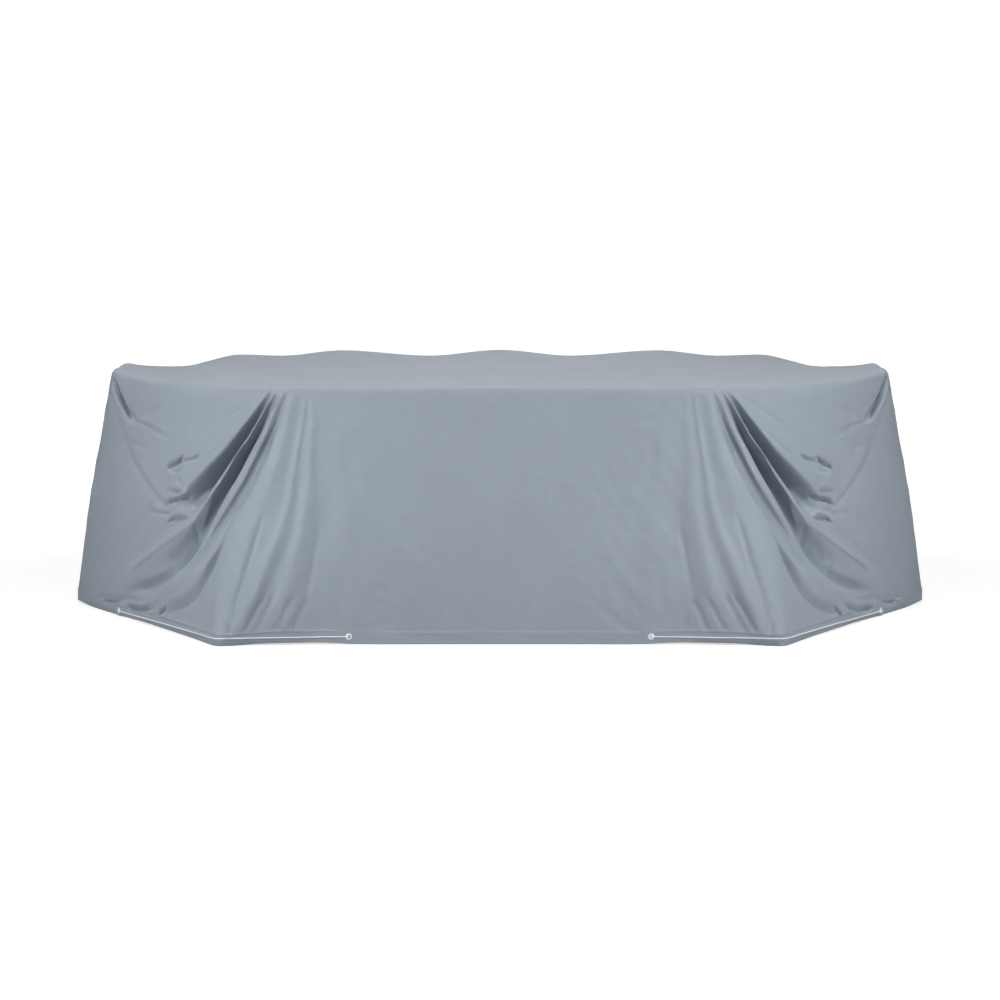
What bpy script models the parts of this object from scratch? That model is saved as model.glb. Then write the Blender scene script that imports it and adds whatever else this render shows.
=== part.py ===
"""Fitted floor-length cover for a patio seating group, with a corded hem.

Metres, +Z up. The origin is on the floor under the middle of the cover. The front faces -Y.

The cloth is one sheet. A place on its wall is given by two numbers: "along", the distance round the
rim from the front's middle to the back's middle, and "level", which is 0 at the rim and 1 at the hem.
The left half is worked out and mirrored in X.
"""

import math

import bmesh
import bpy
import numpy as np
from mathutils import Vector
from mathutils.bvhtree import BVHTree
from mathutils.geometry import delaunay_2d_cdt

# Cloth
CLOTH_THICKNESS = 0.0025
HEIGHT = 0.86  # nominal height of the rim above the floor
HEM_HEIGHT = 0.040
HEM_STEP = 0.0012  # how far the doubled hem stands proud of the wall
HEM_STEP_RUN = 0.004  # height over which that step rises
RIM_ROLL = 0.018  # how far the roll over the rim reaches down the wall and in over the top
WALL_BELLY = 0.012  # how far the wall bows outwards between rim and hem

# Corners of the wall in plan, from the front's middle round the left end to the back's middle.
# along, rim x and y, hem x and y, and the reach of the rounding at the rim, half way down and at the hem
CORNERS = (
    (0.00, (0.000, -0.795), (0.000, -0.905), (0.10, 0.10, 0.10)),  # middle of the front
    (0.46, (-0.398, -0.795), (-0.518, -0.908), (0.10, 0.10, 0.06)),  # front eyelet
    (0.85, (-0.735, -0.795), (-0.962, -0.957), (0.035, 0.14, 0.025)),  # front corner
    (1.85, (-1.385, -0.200), (-1.548, 0.015), (0.05, 0.12, 0.18)),  # front of the end
    (2.25, (-1.385, 0.200), (-1.548, 0.065), (0.05, 0.12, 0.18)),  # back of the end
    (3.05, (-1.040, 0.795), (-1.130, 0.955), (0.05, 0.14, 0.04)),  # back corner
    (4.13, (0.000, 0.795), (0.000, 0.925), (0.10, 0.10, 0.10)),  # middle of the back
)
ALONG_END = CORNERS[-1][0]
HALF_DEPTH = 0.795  # half the depth of the top

# Height of the top's front and back edge at a distance from the middle
FRONT_EDGE = ((0.0, 0.860), (0.735, 0.860), (1.05, 0.860), (1.25, 0.865), (1.40, 0.871))
BACK_EDGE = (
    (0.0, 0.866), (0.27, 0.843), (0.61, 0.864), (0.84, 0.843),
    (1.00, 0.847), (1.21, 0.828), (1.32, 0.840), (1.40, 0.867),
)
TOP_MIDDLE = 0.60  # half the length of the top's middle line
TOP_SAG = 0.045  # how far the middle of the top hangs below its edges
# Small humps of the top: distance from the middle, y, height, radius
TOP_HUMPS = ((1.375, -0.10, 0.004, 0.05), (0.30, 0.42, 0.008, 0.22), (0.95, 0.10, 0.010, 0.30))

# Folds of the wall, each a crest or a groove that runs from the rim down to the hem.
# For each, a row of places along the wall (m) and a row of heights proud of it (mm), at these drops.
DROPS = (0.00, 0.06, 0.14, 0.22, 0.30, 0.38, 0.46, 0.56, 0.68, 0.78, 0.86)
FOLDS = (
    (  # front panel
        (0.35, 0.35, 0.34, 0.33, 0.33, 0.32, 0.31, 0.30, 0.29, 0.28, 0.28),
        (0, 0, 0, 0, 0, 1, 1, 2, 2, 1, 0),
    ),
    (  # crest by the eyelet
        (0.61, 0.60, 0.58, 0.56, 0.54, 0.52, 0.50, 0.48, 0.46, 0.455, 0.46),
        (0, 0, 1, 1, 2, 2, 3, 3, 2, 1, 0),
    ),
    (  # groove 6
        (0.70, 0.69, 0.67, 0.66, 0.64, 0.61, 0.60, 0.60, 0.605, 0.60, 0.57),
        (0, 0, -1, -3, -5, -6, -7, -7, -7, -9, -12),
    ),
    (  # crest 6
        (0.73, 0.72, 0.70, 0.69, 0.675, 0.665, 0.66, 0.66, 0.665, 0.67, 0.66),
        (0, 1, 2, 2, 2, 3, 3, 4, 5, 0, -8),
    ),
    (  # groove 5
        (0.745, 0.735, 0.725, 0.72, 0.71, 0.70, 0.695, 0.705, 0.73, 0.745, 0.74),
        (0, -1, -2, -2, -3, -4, -5, -6, -8, -10, -11),
    ),
    (  # crest 5
        (0.76, 0.75, 0.74, 0.735, 0.73, 0.725, 0.73, 0.745, 0.765, 0.78, 0.78),
        (0, 1, 1, 1, 1, 2, 2, 3, 4, 0, -9),
    ),
    (  # groove 4
        (0.775, 0.765, 0.76, 0.755, 0.755, 0.75, 0.755, 0.785, 0.805, 0.815, 0.81),
        (0, -2, -3, -3, -3, -3, -4, -4, -6, -7, -6),
    ),
    (  # crest 4
        (0.80, 0.805, 0.805, 0.805, 0.815, 0.835, 0.86, 0.885, 0.92, 0.90, 0.85),
        (0, 3, 5, 7, 8, 8, 8, 7, 5, 3, 0),
    ),
    (  # pleat
        (0.812, 0.817, 0.823, 0.83, 0.85, 0.885, 0.92, 0.965, 1.03, 1.12, 1.10),
        (0, 2, 4, 5, 6, 7, 6, -7, -16, -9, 0),
    ),
    (  # pleat's crest
        (0.820, 0.825, 0.832, 0.84, 0.865, 0.905, 0.948, 0.998, 1.075, 1.16, 1.16),
        (0, 1, 1, 1, 2, 4, 6, 4, -6, -3, 0),
    ),
    (  # groove 3
        (0.829, 0.836, 0.846, 0.867, 0.895, 0.927, 0.962, 1.012, 1.11, 1.20, 1.22),
        (0, -14, -24, -30, -32, -32, -30, -22, 2, 2, 0),
    ),
    (  # crest 3
        (0.85, 0.860, 0.877, 0.900, 0.929, 0.961, 0.998, 1.052, 1.155, 1.28, 1.32),
        (0, 2, 5, 8, 8, 8, 9, 12, 16, 11, 2),
    ),
    (  # groove 2
        (0.870, 0.888, 0.915, 0.947, 0.981, 1.017, 1.050, 1.090, 1.24, 1.43, 1.44),
        (0, -30, -62, -86, -98, -102, -100, -88, -26, -12, -6),
    ),
    (  # crest 2
        (0.890, 0.913, 0.946, 0.990, 1.043, 1.100, 1.148, 1.262, 1.46, 1.53, 1.51),
        (0, -1, 1, 4, 7, 8, 10, 14, 12, 5, 3),
    ),
    (  # pocket
        (0.905, 0.928, 0.963, 1.008, 1.064, 1.128, 1.22, 1.37, 1.55, 1.62, 1.62),
        (0, -40, -104, -152, -176, -140, -8, -4, 0, 2, 3),
    ),
    (  # pocket lip
        (0.93, 0.960, 1.022, 1.089, 1.180, 1.262, 1.30, 1.43, 1.60, 1.68, 1.70),
        (0, 3, 6, 8, 8, 6, 2, 1, 0, 1, 3),
    ),
    (  # corner flap
        (1.25, 1.30, 1.33, 1.345, 1.34, 1.33, 1.345, 1.49, 1.66, 1.77, 1.81),
        (0, 4, 8, 12, 13, 11, 4, 0, 0, 0, 2),
    ),
    (  # flap bulge
        (1.55, 1.56, 1.55, 1.50, 1.455, 1.395, 1.39, 1.54, 1.72, 1.82, 1.87),
        (0, 4, 3, 1, 1, 0, -1, 0, 0, 0, 0),
    ),
    (  # end crease
        (1.88, 1.830, 1.742, 1.668, 1.588, 1.475, 1.44, 1.59, 1.78, 1.89, 1.94),
        (0, 3, 4, 5, 6, 5, 0, 0, 0, 0, 0),
    ),
    (  # end shoulder
        (1.905, 1.854, 1.764, 1.690, 1.610, 1.498, 1.47, 1.65, 1.85, 1.97, 2.02),
        (0, -1, -2, -3, -4, -3, 0, 0, 0, 0, 0),
    ),
    (  # end panel
        (2.05, 2.05, 2.05, 2.05, 2.05, 2.05, 2.05, 2.06, 2.08, 2.12, 2.15),
        (0, 0, 0, 0, 1, 1, 2, 2, 1, 0, 0),
    ),
    (  # back shoulder
        (2.28, 2.30, 2.34, 2.40, 2.45, 2.50, 2.51, 2.52, 2.50, 2.46, 2.42),
        (0, 2, 4, 7, 9, 9, 8, 5, 3, 1, 0),
    ),
    (  # back crease
        (2.34, 2.38, 2.44, 2.50, 2.56, 2.62, 2.62, 2.62, 2.60, 2.57, 2.54),
        (0, -10, -20, -23, -22, -16, -12, -7, -4, -2, 0),
    ),
    (  # back flap
        (2.58, 2.62, 2.66, 2.69, 2.71, 2.74, 2.73, 2.71, 2.68, 2.65, 2.62),
        (0, 6, 12, 14, 13, 9, 6, 4, 3, 1, -2),
    ),
    (  # back groove 1
        (2.90, 2.89, 2.87, 2.85, 2.84, 2.83, 2.82, 2.79, 2.75, 2.74, 2.74),
        (0, -7, -15, -22, -28, -29, -26, -21, -15, -13, -12),
    ),
    (  # back crest 1
        (2.98, 2.96, 2.94, 2.92, 2.91, 2.90, 2.88, 2.86, 2.82, 2.83, 2.84),
        (0, 2, 3, 5, 6, 8, 9, 9, 6, 0, -6),
    ),
    (  # back groove 2
        (3.04, 3.03, 3.02, 3.01, 2.99, 2.98, 2.96, 2.94, 2.92, 2.93, 2.94),
        (0, -6, -13, -19, -24, -26, -24, -21, -15, -13, -12),
    ),
    (  # back crest 2
        (3.10, 3.10, 3.10, 3.10, 3.10, 3.09, 3.09, 3.08, 3.06, 3.05, 3.05),
        (0, 2, 4, 7, 9, 11, 12, 12, 9, 5, 0),
    ),
    (  # back groove 3
        (3.15, 3.16, 3.17, 3.19, 3.20, 3.22, 3.23, 3.25, 3.27, 3.25, 3.22),
        (0, -3, -6, -9, -11, -13, -14, -14, -12, -13, -14),
    ),
    (  # back crest 3
        (3.22, 3.25, 3.28, 3.32, 3.35, 3.38, 3.40, 3.43, 3.47, 3.43, 3.38),
        (0, 1, 2, 3, 4, 5, 6, 6, 6, 0, -8),
    ),
    (  # back groove 4
        (3.52, 3.52, 3.52, 3.52, 3.52, 3.53, 3.54, 3.56, 3.58, 3.56, 3.54),
        (0, 0, -1, -2, -4, -5, -6, -7, -8, -10, -12),
    ),
    (  # back panel
        (3.80, 3.81, 3.82, 3.83, 3.84, 3.84, 3.84, 3.84, 3.84, 3.78, 3.70),
        (0, 0, 0, 1, 1, 2, 3, 3, 3, 1, 0),
    ),
)
# Which way the folds stand out along the wall: 0 straight to the front or back, 1 square to the wall
FOLD_FACING = ((0.0, 0.0), (1.70, 0.0), (1.95, 1.0), (2.35, 1.0), (2.65, 0.0), (4.13, 0.0))
# Radius with which the top turns down over the flap at each corner, along the wall
RIM_RADIUS = (
    (0.95, 0.0), (1.15, 0.035), (1.35, 0.045), (1.55, 0.02), (1.68, 0.0), (2.45, 0.0), (2.70, 0.045), (2.90, 0.0),
)
WIDEST_RIM_RADIUS = 0.045

# The hem is drawn up a little off the floor between each pair of eyelets: along, rise and reach
HEM_LIFTS = ((0.62, 0.009, 0.16), (1.20, 0.006, 0.30), (2.72, 0.006, 0.20), (3.40, 0.009, 0.20))

# Eyelets: where each sits along the left half of the hem, and the height of its middle
EYELETS = {
    "front": (0.457, 0.024),
    "end_front": (1.528, 0.018),
    "end_back": (2.560, 0.018),
    "back": (3.700, 0.024),
}
EYELET_HOLE_R = 0.0032
EYELET_BARREL_R = 0.0054
EYELET_FLANGE_R = 0.0090
EYELET_FLANGE = 0.0014
EYELET_SIDES = 16
FIT_GAP = 0.0004

# Drawcord
CORD_RADIUS = 0.0020
# The route of each left cord, from inside one eyelet, along the hem and round its corner, into the other
CORD_ROUTES = {
    "front": (
        (-0.5126, -0.8931, 0.0262), (-0.5123, -0.9031, 0.0269), (-0.5121, -0.9121, 0.0275),
        (-0.5140, -0.9152, 0.0277), (-0.5193, -0.9150, 0.0278), (-0.5270, -0.9145, 0.0279),
        (-0.6600, -0.9262, 0.0278), (-0.8000, -0.9386, 0.0275), (-0.9325, -0.9505, 0.0272),
        (-0.9541, -0.9500, 0.0271), (-0.9722, -0.9370, 0.0270), (-0.9913, -0.9084, 0.0268),
        (-1.0204, -0.8593, 0.0266), (-1.1690, -0.6209, 0.0252), (-1.2627, -0.4700, 0.0226),
        (-1.3545, -0.3208, 0.0205), (-1.3592, -0.3142, 0.0205), (-1.3619, -0.3099, 0.0205),
        (-1.3600, -0.3064, 0.0203), (-1.3524, -0.3018, 0.0195), (-1.3439, -0.2966, 0.0186),
    ),
    "back": (
        (-1.3699, 0.4048, 0.0203), (-1.3788, 0.4092, 0.0211), (-1.3869, 0.4131, 0.0218),
        (-1.3888, 0.4164, 0.0221), (-1.3864, 0.4208, 0.0221), (-1.3822, 0.4276, 0.0222),
        (-1.2690, 0.6620, 0.0235), (-1.1555, 0.8965, 0.0245), (-1.1412, 0.9277, 0.0246),
        (-1.1262, 0.9436, 0.0247), (-1.1066, 0.9522, 0.0247), (-1.0755, 0.9534, 0.0248),
        (-0.8700, 0.9490, 0.0249), (-0.6650, 0.9445, 0.0249), (-0.4651, 0.9402, 0.0248),
        (-0.4571, 0.9407, 0.0249), (-0.4521, 0.9410, 0.0249), (-0.4499, 0.9379, 0.0245),
        (-0.4496, 0.9290, 0.0233), (-0.4492, 0.9191, 0.0219),
    ),
}

# Mesh lines
ROW_DROPS = (0.06, 0.10, 0.14, 0.19, 0.24, 0.30, 0.36, 0.41, 0.46, 0.52, 0.60, 0.68, 0.76)
# Widest spacing of the lines along the wall, up to each number of the fold table
LINE_PITCHES = ((1, 0.18), (19, 0.05), (31, 0.11), (33, 0.18))
TOP_INSETS = (0.018, 0.08)
TOP_PITCH = 0.19
ROLL_STEPS = 2


def smooth_at(x, knots, values):
    """A smooth curve through the knots that never overshoots them. Each knot may be an array like x."""
    x = np.asarray(x, float)
    knots = [np.broadcast_to(k, x.shape) for k in knots]
    values = [np.broadcast_to(v, x.shape) for v in values]
    widths = [b - a for a, b in zip(knots, knots[1:])]
    slopes = [(b - a) / w for a, b, w in zip(values, values[1:], widths)]
    tangents = [np.zeros(x.shape)]
    for low, high in zip(slopes, slopes[1:]):
        total = np.where(np.abs(low + high) < 1e-12, 1.0, low + high)
        tangents.append(np.where(low * high > 0, 2 * low * high / total, 0.0))
    tangents.append(np.zeros(x.shape))
    result = np.array(values[0])
    for i, width in enumerate(widths):
        f = np.clip((x - knots[i]) / width, 0, 1)
        piece = (
            (2 * f**3 - 3 * f**2 + 1) * values[i]
            + (f**3 - 2 * f**2 + f) * width * tangents[i]
            + (3 * f**2 - 2 * f**3) * values[i + 1]
            + (f**3 - f**2) * width * tangents[i + 1]
        )
        result = np.where(x >= knots[i], piece, result)
    return result


def hinge(x, reach):
    """0 before 0, x after it, rounded within reach."""
    return np.where(x < -reach, 0, np.where(x > reach, x, (x + reach) ** 2 / (4 * reach)))


def plan(along, level):
    """The wall's plan position at a level: straight stretches between CORNERS, rounded at each."""
    starts = [corner[0] for corner in CORNERS]
    axes = []
    for axis in (0, 1):
        at_level = [rim[axis] + (hem[axis] - rim[axis]) * level for _, rim, hem, _ in CORNERS]
        rates = [
            (b - a) / (t - s)
            for a, b, s, t in zip(at_level, at_level[1:], starts, starts[1:])
        ]
        value = at_level[0] + rates[0] * along
        for corner, before, after in zip(CORNERS[1:], rates, rates[1:]):
            reach = np.interp(level, (0, 0.5, 1), corner[3])
            value = value + (after - before) * hinge(along - corner[0], reach)
        axes.append(value)
    return axes


def top_height(x, y):
    """Height of the top at a plan position."""
    x = np.abs(x)
    v = np.clip((y / HALF_DEPTH + 1) / 2, 0, 1)
    front = smooth_at(x, *zip(*FRONT_EDGE))
    back = smooth_at(x, *zip(*BACK_EDGE))
    sag = TOP_SAG * (1 - np.clip(x / 1.4, 0, 1) ** 2) * 4 * v * (1 - v)
    humps = sum(
        rise * np.exp(-((x - hx) ** 2 + (y - hy) ** 2) / radius**2)
        for hx, hy, rise, radius in TOP_HUMPS
    )
    return front + (back - front) * v - sag + humps


def hem_lift(along):
    return sum(
        rise * np.exp(-(((along - middle) / reach) ** 4)) for middle, rise, reach in HEM_LIFTS
    )


def base_wall(along, level):
    x, y = plan(along, level)
    rim = top_height(*plan(along, np.zeros_like(level)))
    return np.stack([x, y, rim * (1 - level) + hem_lift(along) * level], -1)


def wall_normal(along, level):
    step = 1e-3
    across = base_wall(along + step, level) - base_wall(along - step, level)
    down = base_wall(along, level + step) - base_wall(along, level - step)
    normal = np.cross(across, down)
    return normal / np.linalg.norm(normal, axis=-1, keepdims=True)


def fold_places(level):
    """Where each fold lies along the wall at a level, with the middles of the front and back as ends."""
    drop = level * HEIGHT
    places = [smooth_at(drop, DROPS, row) for row, _ in FOLDS]
    return [np.zeros_like(drop), *places, np.full_like(drop, ALONG_END)]


def relief(along, level):
    drop = level * HEIGHT
    heights = [smooth_at(drop, DROPS, np.array(row) * 0.001) for _, row in FOLDS]
    heights = [heights[0], *heights, heights[-1]]
    return smooth_at(along, fold_places(level), heights)


def hem_proud(level):
    """The doubled hem's step."""
    above_floor = (1 - level) * HEIGHT
    return HEM_STEP * np.clip((HEM_HEIGHT + HEM_STEP_RUN - above_floor) / HEM_STEP_RUN, 0, 1)


def rim_radius(along):
    return np.maximum(smooth_at(along, *zip(*RIM_RADIUS)), 1e-6)


def turned_in(distance, radius):
    """How far a wall is set in, or a top down, at this distance from the edge that both turn round."""
    share = np.clip(1 - distance / radius, 0, 1)
    return radius * (1 - np.sqrt(1 - share**2))


def wall(along, level):
    along, level = np.broadcast_arrays(np.asarray(along, float), np.asarray(level, float))
    normal = wall_normal(along, level)
    facing = normal.copy()
    facing[..., 0] *= smooth_at(along, *zip(*FOLD_FACING))
    facing /= np.linalg.norm(facing, axis=-1, keepdims=True)
    proud = WALL_BELLY * 4 * level * (1 - level) + hem_proud(level)
    proud = proud - turned_in(level * HEIGHT, rim_radius(along))
    return (
        base_wall(along, level)
        + normal * proud[..., None]
        + facing * relief(along, level)[..., None]
    )


def top_ring(along, inset):
    """Points of the top, this far in from the rim towards the top's middle line."""
    x, y = plan(along, np.zeros_like(along))
    run_x = np.clip(x, -TOP_MIDDLE, TOP_MIDDLE) - x
    run = np.hypot(run_x, y)
    x = x + run_x * inset / run
    y = y - y * inset / run
    return np.stack([x, y, top_height(x, y) - turned_in(inset, rim_radius(along))], -1)


def line_shares():
    """The mesh lines that run up the wall, as shares of the way through the list of folds."""
    places = fold_places(np.linspace(0, 1, 6))
    shares = []
    for i, (low, high) in enumerate(zip(places, places[1:])):
        pitch = next(pitch for last, pitch in LINE_PITCHES if i <= last)
        count = math.ceil(float(np.mean(high - low)) / pitch)
        shares += [(i, step / count) for step in range(count)]
    shares.append((len(places) - 2, 1.0))
    return shares


def lines_at(level, shares):
    """The place along the wall of each mesh line at a level."""
    places = [float(p) for p in fold_places(np.array(level))]
    return np.array([places[i] + (places[i + 1] - places[i]) * f for i, f in shares])


def rows_of_half():
    """Rows of points of the left half, from the hem up over the rim and in over the top."""
    shares = line_shares()
    drops = [HEIGHT, HEIGHT - HEM_HEIGHT, HEIGHT - HEM_HEIGHT - HEM_STEP_RUN, *ROW_DROPS[::-1]]
    rows = [wall(lines_at(drop / HEIGHT, shares), drop / HEIGHT) for drop in drops]
    rim = lines_at(0.0, shares)
    start = wall(lines_at(RIM_ROLL / HEIGHT, shares), RIM_ROLL / HEIGHT)
    end = top_ring(rim, TOP_INSETS[0])
    blunt = (rim_radius(rim) / WIDEST_RIM_RADIUS)[:, None]
    corner = base_wall(rim, np.zeros_like(rim)) * (1 - blunt) + (start + end) / 2 * blunt
    for step in range(ROLL_STEPS + 1):
        u = step / ROLL_STEPS
        rows.append((1 - u) ** 2 * start + 2 * u * (1 - u) * corner + u**2 * end)
    rows += [top_ring(rim, inset) for inset in TOP_INSETS[1:]]
    return rows


def cloth_mesh():
    """The cloth's outer face: rings of quads from the hem to the top, whose middle is then filled in."""
    rings = []
    for half in rows_of_half():
        other = half[-2:0:-1] * (-1, 1, 1)
        rings.append(np.concatenate([half, other]))
    count = len(rings[0])
    points = [tuple(p) for ring in rings for p in ring]
    faces = []
    for row in range(len(rings) - 1):
        for i in range(count):
            j = (i + 1) % count
            faces.append((row * count + i, (row + 1) * count + i, (row + 1) * count + j, row * count + j))

    edge = rings[-1][:, :2]
    inner = []
    for x in np.arange(-1.32, 1.33, TOP_PITCH * 1.02):
        for y in np.arange(-0.70, 0.71, TOP_PITCH):
            if is_inside(x, y, edge) and np.min(np.hypot(*(edge - (x, y)).T)) > TOP_PITCH * 0.45:
                inner.append((x, y))
    flat = [Vector(p) for p in [*map(tuple, edge), *inner]]
    ring_edges = [(i, (i + 1) % count) for i in range(count)]
    filled = delaunay_2d_cdt(flat, ring_edges, [], 1, 1e-6)
    fill_points, fill_faces, sources = filled[0], filled[2], filled[3]
    number = []
    for point, source in zip(fill_points, sources):
        if source and source[0] < count:
            number.append((len(rings) - 1) * count + source[0])
        else:
            number.append(len(points))
            points.append((point.x, point.y, float(top_height(np.array(point.x), np.array(point.y)))))
    faces += [tuple(number[i] for i in face) for face in fill_faces]
    return points, faces


def is_inside(x, y, outline):
    """Whether a plan point is inside a closed outline."""
    ahead = np.roll(outline, -1, axis=0)
    spans = (outline[:, 1] > y) != (ahead[:, 1] > y)
    run = np.where(spans, ahead[:, 1] - outline[:, 1], 1.0)
    cross = outline[:, 0] + (y - outline[:, 1]) * (ahead[:, 0] - outline[:, 0]) / run
    return np.count_nonzero(spans & (x < cross)) % 2 == 1


def new_object(name, mesh, material):
    mesh.materials.append(material)
    obj = bpy.data.objects.new(name, mesh)
    bpy.context.scene.collection.objects.link(obj)
    return obj


def new_material(name, color, roughness, metallic=0.0):
    material = bpy.data.materials.new(name)
    material.use_nodes = True
    shader = material.node_tree.nodes["Principled BSDF"]
    shader.inputs["Base Color"].default_value = (*color, 1)
    shader.inputs["Roughness"].default_value = roughness
    shader.inputs["Metallic"].default_value = metallic
    return material


def make_cloth(material):
    points, faces = cloth_mesh()
    mesh = bpy.data.meshes.new("cover_cloth")
    mesh.from_pydata(points, [], faces)
    work = bmesh.new()
    work.from_mesh(mesh)
    bmesh.ops.triangulate(work, faces=work.faces[:])
    bmesh.ops.recalc_face_normals(work, faces=work.faces[:])
    work.to_mesh(mesh)
    work.free()
    mesh.shade_smooth()
    cloth = new_object("cover_cloth", mesh, material)
    sheet = cloth.modifiers.new("thickness", "SOLIDIFY")
    sheet.thickness = CLOTH_THICKNESS
    sheet.offset = -1
    sheet.use_rim = True
    return cloth, BVHTree.FromPolygons(points, faces)


def seat_of(outside, along, rise):
    """The middle and outward direction of the patch of cloth that an eyelet clamps."""
    level = np.array(1 - rise / HEIGHT)
    aim = Vector(wall(np.array(along), level))
    out = Vector(wall_normal(np.array(along), level))
    side = out.cross(Vector((0, 0, 1))).normalized()
    up = side.cross(out)
    patch = []
    for i in range(EYELET_SIDES):
        angle = 2 * math.pi * i / EYELET_SIDES
        start = aim + (side * math.cos(angle) + up * math.sin(angle)) * EYELET_FLANGE_R + out * 0.05
        patch.append(outside.ray_cast(start, -out)[0])
    middle = sum(patch, Vector()) / len(patch)
    normal = Vector()
    for point, following in zip(patch, patch[1:] + patch[:1]):
        normal += (point - middle).cross(following - middle)
    if normal.dot(out) < 0:
        normal = -normal
    return middle, normal.normalized()


def turned(name, profile, sides):
    """A mesh turned round Z from a closed outline of (radius, height) points."""
    work = bmesh.new()
    rings = []
    for radius, height in profile:
        ring = []
        for i in range(sides):
            angle = 2 * math.pi * i / sides
            ring.append(work.verts.new((radius * math.cos(angle), radius * math.sin(angle), height)))
        rings.append(ring)
    for ring, following in zip(rings, rings[1:] + rings[:1]):
        for i in range(sides):
            j = (i + 1) % sides
            work.faces.new((ring[i], ring[j], following[j], following[i]))
    bmesh.ops.recalc_face_normals(work, faces=work.faces[:])
    mesh = bpy.data.meshes.new(name)
    work.to_mesh(mesh)
    work.free()
    mesh.shade_smooth()
    mesh.set_sharp_from_angle(angle=math.radians(40))
    return mesh


def eyelet_mesh():
    """An eyelet about Z: a flange on each face of the cloth, joined by a barrel through it."""
    out = FIT_GAP
    back = -CLOTH_THICKNESS - FIT_GAP
    crown = EYELET_FLANGE_R - 0.0025
    return turned("eyelet", (
        (EYELET_HOLE_R, back - EYELET_FLANGE * 0.7),
        (EYELET_FLANGE_R, back - EYELET_FLANGE * 0.7),
        (EYELET_FLANGE_R, back),
        (EYELET_BARREL_R, back),
        (EYELET_BARREL_R, out),
        (EYELET_FLANGE_R, out),
        (crown, out + EYELET_FLANGE),
        (EYELET_HOLE_R, out + EYELET_FLANGE * 0.8),
    ), EYELET_SIDES)


def hole_cutter():
    mesh = bpy.data.meshes.new("eyelet_hole")
    work = bmesh.new()
    radius = EYELET_BARREL_R + FIT_GAP
    bmesh.ops.create_cone(work, cap_ends=True, segments=EYELET_SIDES, radius1=radius, radius2=radius, depth=0.02)
    work.to_mesh(mesh)
    work.free()
    return mesh


def make_eyelets(cloth, outside, material):
    mesh = eyelet_mesh()
    cutter_mesh = hole_cutter()
    for side, sign in (("left", 1), ("right", -1)):
        for place, (along, rise) in EYELETS.items():
            point, normal = seat_of(outside, along, rise)
            point.x *= sign
            normal.x *= sign
            turn = normal.to_track_quat("Z", "Y")
            eyelet = new_object(f"eyelet_{place}_{side}", mesh.copy(), material)
            cutter = bpy.data.objects.new(f"hole_{place}_{side}", cutter_mesh)
            bpy.context.scene.collection.objects.link(cutter)
            cutter.hide_render = True
            cutter.display_type = "WIRE"
            for obj in (eyelet, cutter):
                obj.location = point
                obj.rotation_mode = "QUATERNION"
                obj.rotation_quaternion = turn
            hole = cloth.modifiers.new(cutter.name, "BOOLEAN")
            hole.object = cutter
            hole.operation = "DIFFERENCE"
            hole.solver = "EXACT"


def smooth_route(route):
    """Points of a smooth curve through a route's own points, closer together where it bends."""
    ends = [route[0] * 2 - route[1], *route, route[-1] * 2 - route[-2]]
    points = []
    for before, start, end, after in zip(ends, ends[1:], ends[2:], ends[3:]):
        bend = max((start - before).angle(end - start), (end - start).angle(after - end))
        steps = 2 if bend > math.radians(20) else 1
        for i in range(steps):
            f = i / steps
            points.append(0.5 * (
                2 * start + (end - before) * f
                + (2 * before - 5 * start + 4 * end - after) * f**2
                + (3 * start - before - 3 * end + after) * f**3
            ))
    return [*points, route[-1]]


def make_cord(name, route, sign, material):
    points = smooth_route([Vector((x * sign, y, z)) for x, y, z in route])
    curve = bpy.data.curves.new(name, "CURVE")
    curve.dimensions = "3D"
    curve.bevel_depth = CORD_RADIUS
    curve.bevel_resolution = 2
    curve.use_fill_caps = True
    spline = curve.splines.new("POLY")
    spline.points.add(len(points) - 1)
    for spot, point in zip(spline.points, points):
        spot.co = (*point, 1)
    new_object(name, curve, material)


def main():
    for obj in list(bpy.data.objects):
        bpy.data.objects.remove(obj, do_unlink=True)
    fabric = new_material("cover_fabric", (0.33, 0.37, 0.42), 0.7)
    white = new_material("eyelet_white", (0.82, 0.82, 0.80), 0.35)
    cord = new_material("cord_white", (0.80, 0.80, 0.78), 0.8)
    cloth, outside = make_cloth(fabric)
    make_eyelets(cloth, outside, white)
    for place, route in CORD_ROUTES.items():
        make_cord(f"drawcord_{place}_left", route, 1, cord)
        make_cord(f"drawcord_{place}_right", route, -1, cord)


main()
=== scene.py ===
"""Looks of a fitted floor-length cover for a patio seating group, with a corded hem.

The cloth's fine surface follows the same corners and folds as its solid, but the folds from the pleat to
groove 2, at each front corner, lie up to 3 cm beside the solid's. A place on its wall is given by "along",
the distance round the rim from the front's middle to the back's middle, and "level", 0 at the rim and 1
at the hem. The left half is worked out and mirrored in X. Metres, +Z up, the front faces -Y.
"""

import math

import bmesh
import bpy
import numpy as np
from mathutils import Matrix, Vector
from mathutils.geometry import delaunay_2d_cdt


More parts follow.
